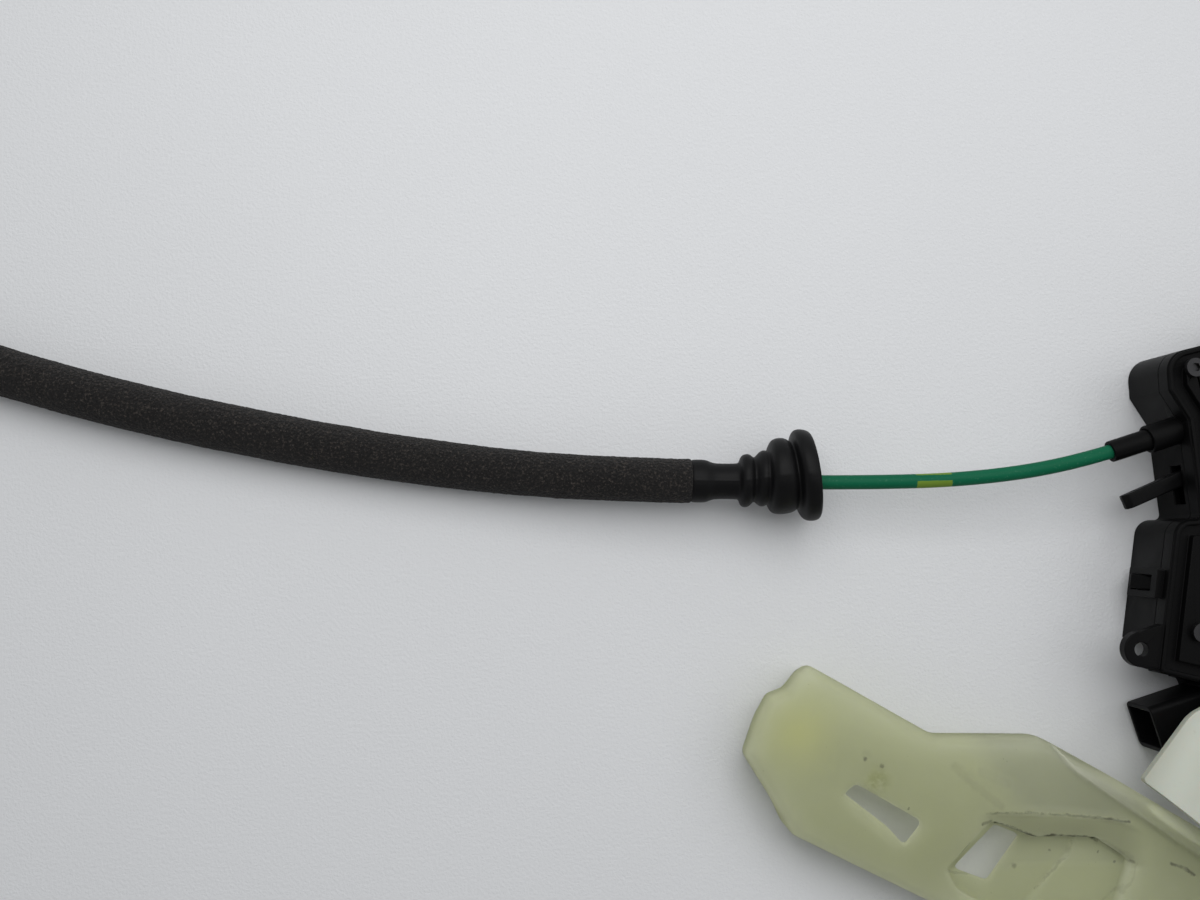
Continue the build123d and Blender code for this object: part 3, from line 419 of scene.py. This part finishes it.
def rubberFinish():
    finish = Finish("softRubber")
    bloom = finish.cloud(120, 4, 0.6)
    dust = finish.step(finish.cloud(2600, 3, 0.6), 0.66, 0.76)
    shade = finish.mix(bloom, colour(0.0020, 0.0020, 0.0023), colour(0.0048, 0.0048, 0.0052))
    shade = finish.mix(dust * 0.25, shade, colour(0.07, 0.07, 0.065))
    height = finish.cloud(1800, 3, 0.6)
    return finish.shade(shade, 0.36 + bloom * 0.18, finish.bump(height, 0.00006),
                        Specular_IOR_Level=0.12)


conduitLine = lineOf(cable["route"])
cableConduit = makeConduit(conduitFinish())
foamSleeve = makeSleeve(conduitLine, foamFinish())
rubber = rubberFinish()
bellowsGrommet = makeGrommet(rubber)
print("cable made")


# Finishes of the hard pieces
def blackPlastic(name, tone, roughness, grain=0.00005):
    finish = Finish(name)
    wide = finish.cloud(45, 4, 0.6)
    fine = finish.cloud(1600, 3, 0.6)
    dusty = finish.step(finish.cloud(30, 2, 0.5), 0.4, 0.7)
    dust = finish.step(finish.cloud(3400, 2, 0.5), 0.68, 0.76) * dusty
    black, worn = (0.0062, 0.0063, 0.0068), (0.0125, 0.0126, 0.013)
    shade = finish.mix(wide, *(colour(*(part * tone for part in end)) for end in (black, worn)))
    shade = finish.mix(dust * 0.3, shade, colour(0.10, 0.10, 0.10))
    return finish.shade(shade, roughness + wide * 0.14 + dust * 0.2, finish.bump(fine, grain),
                        Specular_IOR_Level=0.07)


def tintedPlastic(name, first, second, roughness, subsurface, shadeHeights=None, grain=0.00004):
    finish = Finish(name)
    wide = finish.cloud(55, 3, 0.6)
    fine = finish.cloud(1500, 3, 0.6)
    grime = finish.step(finish.cloud(260, 4, 0.7), 0.60, 0.80) * 0.22
    shade = finish.mix(wide, colour(*first), colour(*second))
    shade = finish.mix(grime, shade, colour(0.10, 0.09, 0.07))
    if shadeHeights:  # painted shade: between these heights the plastic is painted darker and yellower downwards, where a curved corner bends away from the light
        shade = finish.mix(finish.step(finish.z, *shadeHeights) * 0.5, shade, colour(0.20, 0.21, 0.145))
    return finish.shade(shade, roughness + wide * 0.12, finish.bump(fine, grain),
                        Subsurface_Weight=subsurface, Subsurface_Scale=0.004)


def platedSteel(name, first, second, roughness, stain, brushed):
    finish = Finish(name)
    wide = finish.cloud(80, 4, 0.65)
    fine = finish.cloud(2200, 3, 0.6)
    lines = finish.cloud(420, 3, 0.6, finish.stretched(1.0, 0.05, 1.0, 3))
    spots = finish.step(finish.cloud(520, 4, 0.7), 0.62, 0.74)
    shade = finish.mix(wide, colour(*first), colour(*second))
    shade = finish.mix(spots * stain, shade, colour(0.16, 0.13, 0.10))
    rough = roughness + wide * 0.14 + spots * 0.2 + lines * brushed
    height = fine * 0.5 + lines * 0.7
    return finish.shade(shade, rough, finish.bump(height, 0.00003), Metallic=1.0)


finishes = {
    "zinc_steel": platedSteel("zincSteel", (0.50, 0.49, 0.45), (0.64, 0.62, 0.57), 0.30, 0.35, 0.06),
    "pin_steel": platedSteel("pinSteel", (0.42, 0.42, 0.43), (0.56, 0.56, 0.57), 0.24, 0.2, 0.08),
    "spring_steel": platedSteel("springSteel", (0.20, 0.20, 0.21), (0.34, 0.34, 0.35), 0.30, 0.3, 0.02),
    "bolt_steel": platedSteel("boltSteel", (0.34, 0.33, 0.31), (0.50, 0.49, 0.46), 0.32, 0.4, 0.06),
    "screw_steel": platedSteel("screwSteel", (0.03, 0.03, 0.032), (0.06, 0.06, 0.062), 0.34, 0.25, 0.03),
    "motor_steel": platedSteel("motorSteel", (0.44, 0.44, 0.44), (0.58, 0.58, 0.57), 0.30, 0.3, 0.05),
    "contact_brass": platedSteel("contactBrass", (0.62, 0.42, 0.14), (0.74, 0.54, 0.22), 0.26, 0.2, 0.03),
    "black_plastic": blackPlastic("blackPlastic", 0.28, 0.36),
    "lever_plastic": blackPlastic("leverPlastic", 0.4, 0.30),
    "gear_plastic": tintedPlastic("gearPlastic", (0.62, 0.60, 0.52), (0.72, 0.70, 0.62), 0.34, 0.1),
    # the arm's bent-down corner gets painted shade below 34.5 mm
    "white_plastic": tintedPlastic("whitePlastic", (0.47, 0.49, 0.42), (0.54, 0.57, 0.50), 0.34, 0.15,
                                   shadeHeights=(0.0345, 0.0298)),
    "clip_plastic": tintedPlastic("clipPlastic", (0.55, 0.36, 0.05), (0.66, 0.45, 0.08), 0.36, 0.1),
    "cream_plastic": tintedPlastic("creamPlastic", (0.50, 0.54, 0.32), (0.58, 0.62, 0.40), 0.42, 0.3),
    "soft_rubber": rubber,
    "foam": None,
    "conduit_plastic": None,
}
for name, node in nodes.items():
    if finishes[slotOf[name]]:
        node.data.materials.clear()
        node.data.materials.append(finishes[slotOf[name]])
print("finishes made")


# Rigid pieces with their moulded or punched edges rounded: piece, edge width in millimetres, and
# whether flat triangles are merged first, which the cover's long thin faces don't stand
roundedPieces = {
    "actuator_case": ("actuatorCase", 0.45),
    "actuator_cover": ("actuatorCover", 0.3, False),
    "latch_body": ("latchBody", 0.45),
    "latch_plate": ("latchPlate", 0.35),
    "back_plate": ("backPlate", 0.25),
    "fork_bolt": ("forkBolt", 0.4),
    "pawl": ("latchPawl", 0.35),
    "outside_lever": ("outsideLever", 0.3),
    "key_lever": ("keyLever", 0.3),
    "inside_lever": ("insideLever", 0.25),
    "lock_lever": ("lockLever", 0.5),
    "case_end_ferrule": ("caseFerrule", 0.35),
    "handle_end_ferrule": ("handleFerrule", 0.3),
    "guard_arm": ("guardArm", 0.22),
    "rod_clip": ("rodClip", 0.25),
}


def roundedCopy(node, name, width, merged=True):
    shape = bmesh.new()
    shape.from_mesh(nodes[node].data)
    bmesh.ops.remove_doubles(shape, verts=shape.verts, dist=mergeGap)
    if merged:  # triangles that lie flat become one face
        flat = math.radians(1.0)
        bmesh.ops.dissolve_limit(shape, angle_limit=flat, verts=shape.verts, edges=shape.edges)
    mesh = bpy.data.meshes.new(name)
    shape.to_mesh(mesh)
    shape.free()
    mesh.shade_smooth()
    mesh.set_sharp_from_angle(angle=sharpAngle)
    piece = newPiece(name, mesh, finishes[slotOf[node]], node)
    edge = piece.modifiers.new("edges", "BEVEL")
    edge.limit_method, edge.angle_limit = "ANGLE", sharpAngle
    edge.width, edge.segments = width * millimetre, 2
    edge.use_clamp_overlap = False
    edge.harden_normals = merged
    if not merged:
        weighted = piece.modifiers.new("normals", "WEIGHTED_NORMAL")
        weighted.keep_sharp = True
    return piece


rounded = {node: roundedCopy(node, *settings) for node, settings in roundedPieces.items()}
print("rigid pieces rounded")


# Guard: one soft moulded shell of translucent plastic, in millimetres, Z up from the table
guard = {
    "voxel": 0.85,
    "smoothing": 5,
    "outline": (
        (-116.2, -34.8), (-111.8, -22.7), (-107.8, -15.6), (-102.4, -13.7), (-97.8, -8.2), (-93.9, -5.8),
        (-52.1, -29.3), (-16.1, -29.9), (13.6, -46.5), (70.6, -79.2), (63.6, -124.2), (17.6, -118.2),
        (-55.2, -84.9), (-97.9, -64.0),
    ),
    "height": 22.0,
    "edgeRound": 4.2,
    "crease": ((-44.5, -29.9), (-27.0, -54.5)),
    "wingDrop": 2.6,
    "rib": ((-13.0, -31.2), (0.0, -38.0), (23.2, -51.7), (44.0, -65.5), (75.0, -84.0)),
    "ledge": ((-33.0, -56.7), (-17.3, -56.8), (-4.8, -57.7), (14.4, -59.6), (26.0, -66.0)),
    "ledgeDrop": 1.6,
    "bandAbove": -76.0,  # Y that the band under the ledge ends at
    "recess": ((-30.6, -58.8), (-14.8, -65.2), (6.6, -65.6), (18.6, -73.4), (9.6, -98.2)),
    "recessBelow": -58.0,
    "recessHeights": (9.0, 17.5),
    "recessStep": ((0.2, -66.5), (-1.0, -72.4), (-6.7, -77.4), (-15.0, -87.0)),
    "stepRise": 1.3,
    "stepEnd": 22.0,
    "slots": (
        ((-77.1, -46.1), (-54.7, -58.9), (-61.1, -66.5), (-66.8, -60.3), (-81.3, -49.2)),
        ((-29.9, -60.1), (-21.6, -63.4), (-33.1, -78.5), (-44.5, -74.3)),
    ),
    "lean": 0.0528,  # the walls lean away from a point beyond them
    "leanPoint": (-187.4, 39.8),
    "leanTop": 0.3,  # share of it that the deck takes
    "leanFrom": ((-104.0, -62.0), (0.0, -95.0)),
    "lobe": ((-98.0, -25.0), (-40.0, -50.0)),
    "fades": {  # where each form or tone begins, and where it is full
        "wing": (-1.0, 11.0), "wingAbove": (-1.0, 2.5), "wingEnd": (24, 6),
        "rib": (5.2, 2.8), "ribBegin": (-14, 12),
        "band": (0.4, -0.8), "bandBegin": (-36, -29), "bandEnd": (24, 14), "bandTop": (13, 18),
        "recess": (0.5, -1.0), "step": (-0.5, 0.5),
        "round": (10, -8),
        "leanEdge": (15, 3), "leanSide": (0, 12), "leanEnd": (34, 0), "leanSlot": (9, 3),
        "lobe": (-6, 10), "lobeEnd": (-30, -70), "low": (-45, -80), "lowEnd": (-10, -40),
        "right": (-10, 22), "rightUp": (-62, -46), "greyRight": (0, 30),
        "ribLight": (14, 30), "ribDark": (16, 4), "ribFlank": (14, 2),
        "rim": (1.6, 0.2), "wideRim": (6.5, 2.5), "wideRimUp": (-50, -40),
    },
    "toneAndShade": {  # how much lighter or darker each place is: ribLight is painted light, ribDark, ribFlank, rim, wideRim, band, low and right are painted shade, lobe, wing and recess just lighten or darken those places
        "plain": 0.86, "lobe": 0.14, "wing": -0.14, "band": -0.30, "recess": 0.10, "right": -0.14,
        "low": -0.16, "ribLight": 0.75, "ribDark": -0.12, "ribFlank": -0.9, "rim": -0.30, "wideRim": -0.10,
    },
    "toneMost": 1.35,
    "greys": {"wing": 0.75, "band": 0.25, "right": 0.30},
    "cream": ((0.12, 0.126, 0.045), (0.68, 0.71, 0.47)),  # darkest and lightest, between which the tone's painted light and shade choose
    "cool": ((0.12, 0.125, 0.105), (0.62, 0.64, 0.575)),
    "through": (0.93, 0.94, 0.84),
    "yellow": (0.60, 0.60, 0.18),
    "yellowSpot": ((-0.0965, -0.0290, 0.022), 0.007, 0.014),
    "olive": (0.20, 0.22, 0.05),
    "oliveSpot": ((-0.0699, -0.0452, 0.021), 0.0040, 0.0025),
}
# Dark lines along folds and steps, dirt specks, and painted shadow down the soft crease
dirtAndShade = {
    "colour": (0.030, 0.028, 0.016),
    "lines": (  # points, half width, how dark, how broken
        (((-31.9, -56.7), (-17.3, -56.8), (-4.8, -57.7), (6.0, -58.7)), 0.32, 0.65, 0.7),
        (((6.0, -58.7), (11.5, -59.3), (17.4, -60.2)), 0.34, 0.85, 0.35),
        (((-44.8, -75.2), (-43.0, -73.6), (-38.3, -66.6)), 0.40, 0.6, 0.6),
        (((-33.4, -60.2), (-30.3, -59.6)), 0.40, 0.8, 0.4),
        (((-26.6, -61.0), (-24.1, -61.6), (-13.8, -65.6), (-9.0, -64.6), (5.6, -65.9), (9.0, -67.7)),
         0.45, 0.9, 0.5),
        (((9.0, -67.7), (18.5, -72.9)), 0.9, 0.3, 0.4),
        (((31.6, -74.4), (35.6, -75.6), (39.4, -78.0)), 0.40, 0.8, 0.5),
        (((0.2, -67.8), (-1.0, -72.4), (-6.7, -77.4), (-12.9, -83.9)), 0.26, 0.4, 0.75),
        (((19.6, -73.9), (17.6, -79.9), (14.6, -83.9), (10.2, -87.9)), 0.30, 0.25, 0.75),
        (((-43.4, -77.6), (-31.8, -79.6)), 0.30, 0.3, 0.7),
        (((-82.0, -49.6), (-67.2, -60.8)), 0.30, 0.14, 0.75),
        # the next two are painted shadow down the soft crease
        (((-43.0, -40.8), (-36.1, -47.2), (-27.4, -54.2)), 1.0, 0.26, 0.1),
        (((-33.8, -42.9), (-24.5, -47.1)), 1.1, 0.16, 0.1),
    ),
    "spots": (  # place, radius, how dark
        ((-73.9, -37.9), 0.7, 0.7), ((-68.0, -40.2), 0.7, 0.7), ((-59.1, -54.7), 0.4, 0.6),
        ((-20.1, -76.2), 0.8, 0.55), ((-7.3, -71.3), 0.4, 0.55), ((9.3, -71.5), 0.45, 0.6),
        ((14.9, -75.2), 0.5, 0.6), ((18.7, -73.6), 0.7, 0.6), ((-73.4, -36.5), 1.6, 0.12),
        ((-68.0, -40.8), 1.3, 0.1), ((-66.5, -46.2), 1.1, 0.12),
    ),
    "ragged": 0.0016,
    "from": (0.0085, 0.0095),  # the height above which it shows
}


def beside(point, line):  # distance from a run of straight pieces, positive on its left
    nearest = (math.inf, 1.0)
    for (ax, ay), (bx, by) in zip(line, line[1:]):
        dx, dy = bx - ax, by - ay
        share = min(1.0, max(0.0, ((point[0] - ax) * dx + (point[1] - ay) * dy) / (dx * dx + dy * dy)))
        gap = math.hypot(point[0] - ax - share * dx, point[1] - ay - share * dy)
        side = dx * (point[1] - ay) - dy * (point[0] - ax)
        nearest = min(nearest, (gap, math.copysign(1.0, side)))
    return nearest[0] * nearest[1]


def leftOf(point, line):  # distance from an endless straight line, positive on its left
    (ax, ay), (bx, by) = line
    across = (bx - ax) * (point[1] - ay) - (by - ay) * (point[0] - ax)
    return across / math.hypot(bx - ax, by - ay)


def fade(name, value):
    return ease(value, *guard["fades"][name])


def guardToneAndShade(x, y, edge, wing, rib, band, inside):  # how light and how grey a point is, painted light and shade included
    # painted light on the rib the arm shades, painted shade on the rim, wide rim, band, low and right sides
    # and the rib's flanks
    shares = {
        "plain": 1.0,
        "lobe": fade("lobe", leftOf((x, y), guard["lobe"])) * (1 - wing) * fade("lobeEnd", x),
        "wing": wing,
        "band": band * (1 - inside),
        "recess": inside,
        "right": fade("right", x) * fade("rightUp", y) * (1 - rib),
        "low": fade("low", y) * fade("lowEnd", x) * (1 - inside),
        "ribLight": fade("ribLight", x) * rib,
        "ribDark": fade("ribDark", x) * rib,
        "ribFlank": fade("ribFlank", x) * rib * (1 - rib),
        "rim": fade("rim", edge),
        "wideRim": fade("wideRim", edge) * fade("wideRimUp", y),
    }
    greyShares = {"wing": wing * (1 - rib), "band": band, "right": fade("greyRight", x)}
    tone = sum(guard["toneAndShade"][name] * share for name, share in shares.items())
    grey = sum(guard["greys"][name] * share for name, share in greyShares.items())
    return max(0.0, min(guard["toneMost"], tone)), min(1.0, grey)


def guardShape(x, y, z):  # where a point of the plain shell goes, and its tone with painted light and shade, and grey
    height, place = guard["height"], (x, y)
    edge = abs(beside(place, (*guard["outline"], guard["outline"][0])))
    ledge = beside(place, guard["ledge"])
    # Wing, lower than the lobe and reached over a soft crease, and the rib that stays up beside it
    wing = fade("wing", leftOf(place, guard["crease"])) * fade("wingAbove", ledge) * fade("wingEnd", x)
    rib = fade("rib", abs(beside(place, guard["rib"]))) * fade("ribBegin", x)
    z -= guard["wingDrop"] * wing * (1 - rib) * z / height
    # Band under the ledge, and the recess with its step
    band = fade("band", ledge) * fade("bandBegin", x) * fade("bandEnd", x) * (y > guard["bandAbove"])
    z -= guard["ledgeDrop"] * band * fade("bandTop", z)
    low, high = guard["recessHeights"]
    inside = fade("recess", beside(place, guard["recess"])) * (y < guard["recessBelow"]) * (low < z < high)
    step = fade("step", beside(place, guard["recessStep"]))
    z += guard["stepRise"] * step * inside * (x < guard["stepEnd"])
    # Rounded edges
    turn = guard["edgeRound"] * fade("round", x)
    if edge < turn:
        z -= (turn - math.sqrt(turn * turn - (turn - edge) ** 2)) * z / height
    # Leaning walls
    wall = fade("leanEdge", edge) * fade("leanSide", leftOf(place, guard["leanFrom"])) * fade("leanEnd", x)
    wall *= 1 - (1 - guard["leanTop"]) * z / height
    slot = fade("leanSlot", min(abs(beside(place, (*line, line[0]))) for line in guard["slots"]))
    lean = guard["lean"] * max(wall, slot * (1 - z / height))
    fromX, fromY = guard["leanPoint"]
    moved = (x + (x - fromX) * lean, y + (y - fromY) * lean, z)
    return moved, *guardToneAndShade(x, y, edge, wing, rib, band, inside)


def makeGuard(material):
    mesh = nodes["guard"].data.copy()
    shape = bmesh.new()
    shape.from_mesh(mesh)
    bmesh.ops.remove_doubles(shape, verts=shape.verts, dist=mergeGap)
    shape.to_mesh(mesh)
    shape.free()
    rough = bpy.data.objects.new("roughGuard", mesh)
    scene.collection.objects.link(rough)
    remesh = rough.modifiers.new("remesh", "REMESH")
    remesh.mode, remesh.voxel_size = "VOXEL", guard["voxel"] * millimetre
    smooth = rough.modifiers.new("smooth", "SMOOTH")
    smooth.factor, smooth.iterations = 0.5, guard["smoothing"]
    bpy.context.view_layer.update()
    done = bpy.data.meshes.new_from_object(rough.evaluated_get(bpy.context.evaluated_depsgraph_get()))
    bpy.data.objects.remove(rough)
    bpy.data.meshes.remove(mesh)
    # the tone carries painted light and shade as well as the shell's own lighter and darker places
    looks = {"tone": [], "grey": []}
    for vertex in done.vertices:
        place, tone, grey = guardShape(*(value / millimetre for value in vertex.co))
        vertex.co = Vector(place) * millimetre
        looks["tone"].append(tone)
        looks["grey"].append(grey)
    for name, values in looks.items():
        done.attributes.new(name, "FLOAT", "POINT").data.foreach_set("value", values)
    done.shade_smooth()
    return newPiece("creamGuard", done, material, "guard")


def dirtAndShadeMask(finish):  # dark lines along the folds and steps, dirt specks, and painted shadow along the crease
    x = (finish.x + (finish.cloud(420, 3, 0.65) - 0.5) * dirtAndShade["ragged"]) / millimetre
    y = (finish.y + (finish.cloud(380, 3, 0.65) - 0.5) * dirtAndShade["ragged"]) / millimetre
    whole = finish.step(finish.cloud(170, 4, 0.7), 0.36, 0.56)
    found = finish.step(finish.cloud(900, 2, 0.5), 0.74, 0.80) * 0.3  # specks all over
    for points, half, dark, broken in dirtAndShade["lines"]:
        mask = None
        for (ax, ay), (bx, by) in zip(points, points[1:]):
            dx, dy = bx - ax, by - ay
            along = ((x - ax) * dx + (y - ay) * dy) / (dx * dx + dy * dy)
            along = along.math("MINIMUM", 1.0).math("MAXIMUM", 0.0)
            gap = finish.length(x - ax - along * dx, y - ay - along * dy)
            near = finish.step(gap, half * 2.2, half * 0.5)
            mask = near if mask is None else mask.math("MAXIMUM", near)
        found = found.math("MAXIMUM", mask * (whole * broken + (1 - broken)) * dark)
    for (spotX, spotY), radius, dark in dirtAndShade["spots"]:
        gap = finish.length(x - spotX, y - spotY)
        found = found.math("MAXIMUM", finish.step(gap, radius * 1.6, radius * 0.4) * dark)
    return found * finish.step(finish.z, *dirtAndShade["from"])


def guardFinish():
    finish = Finish("creamGuard")
    wide = finish.cloud(40, 3, 0.6)
    tone, grey = (finish.node("ShaderNodeAttribute", {"attribute_name": name}, {}, "Fac")
                  for name in ("tone", "grey"))
    # painted light and shade: the tone picks between the darkest and lightest copies of the cream and cool
    # colours
    light = tone * 0.72 + wide * 0.14 - 0.07
    cream, cool = (finish.mix(light, *(colour(*end) for end in guard[name])) for name in ("cream", "cool"))
    shade = finish.mix(grey * 0.7, cream, cool)
    yellow = finish.spot(*guard["yellowSpot"])
    shade = finish.mix(yellow * 0.6, shade, colour(*guard["yellow"]))
    olive = finish.spot(*guard["oliveSpot"]) * finish.step(finish.cloud(300, 3, 0.6), 0.30, 0.6)
    shade = finish.mix(olive * 0.65, shade, colour(*guard["olive"]))
    # dark fold lines, dirt specks and painted crease shadow
    mask = dirtAndShadeMask(finish)
    shade = finish.mix(mask, shade, colour(*dirtAndShade["colour"]))
    clear = (1 - mask.math("MAXIMUM", olive * 0.5)) * (1 - yellow * 0.3)
    clear = clear * finish.step(tone, 0.9, guard["toneMost"], 0.70, 0.25)
    height = finish.cloud(1100, 3, 0.6) + finish.cloud(180, 2, 0.5) * 1.5
    return finish.shade(shade, 0.42 + wide * 0.12 + mask * 0.3, finish.bump(height, 0.00006),
                        (colour(*guard["through"]), clear), Specular_IOR_Level=0.35,
                        Subsurface_Weight=0.35, Subsurface_Scale=0.004, Subsurface_Radius=(1.0, 1.0, 0.6))


makeGuard(guardFinish())
print("guard made")


# Table and light
table = {"size": 40.0, "colours": ((0.6336, 0.6432, 0.6576), (0.6798, 0.6901, 0.70555))}
lights = {
    "overhead": 0.16,  # sky straight above, where a camera and a ceiling are dark
    "around": 0.565,
    "sideways": 0.28,  # how much brighter the far side is than the near one
    "lamps": (  # name, place, side, power
        ("window", (-0.15, 0.33, 0.61), 0.6, 2.9),
        ("ceiling", (0.75, 0.35, 1.1), 1.0, 3.0),
    ),
    "aim": (-0.12, 0.02, 0.0),
}


def tableFinish():
    finish = Finish("table")
    wide = finish.cloud(4, 3, 0.6)
    grain = finish.cloud(900, 3, 0.6)
    shade = finish.mix(wide, *(colour(*tone) for tone in table["colours"]))
    return finish.shade(shade, 0.5 + grain * 0.1, finish.bump(grain, 0.00022), Specular_IOR_Level=0.3)


def makeTable():
    shape = bmesh.new()
    bmesh.ops.create_grid(shape, x_segments=1, y_segments=1, size=table["size"] / 2)
    mesh = bpy.data.meshes.new("table")
    shape.to_mesh(mesh)
    shape.free()
    floor = bpy.data.objects.new("table", mesh)
    scene.collection.objects.link(floor)
    mesh.materials.append(tableFinish())


def makeLights():
    sky = Finish("sky", "worlds", "Generated")
    strength = sky.step(sky.z, 0.55, 0.95, lights["around"], lights["overhead"])
    strength = strength * sky.step(sky.y, -0.7, 0.7, 1 - lights["sideways"], 1 + lights["sideways"])
    glow = sky.node("ShaderNodeBackground", {}, {"Color": colour(0.98, 0.99, 1.0), "Strength": strength})
    scene.world = sky.close(glow, "ShaderNodeOutputWorld")
    for name, place, side, power in lights["lamps"]:
        lamp = bpy.data.lights.new(name, "AREA")
        lamp.shape, lamp.size, lamp.energy = "SQUARE", side, power
        light = bpy.data.objects.new(name, lamp)
        scene.collection.objects.link(light)
        turn = (Vector(place) - Vector(lights["aim"])).to_track_quat("Z", "Y")
        light.matrix_world = Matrix.Translation(place) @ turn.to_matrix().to_4x4()


makeTable()
makeLights()
scene.view_settings.view_transform = "Standard"
print("table and lights made")
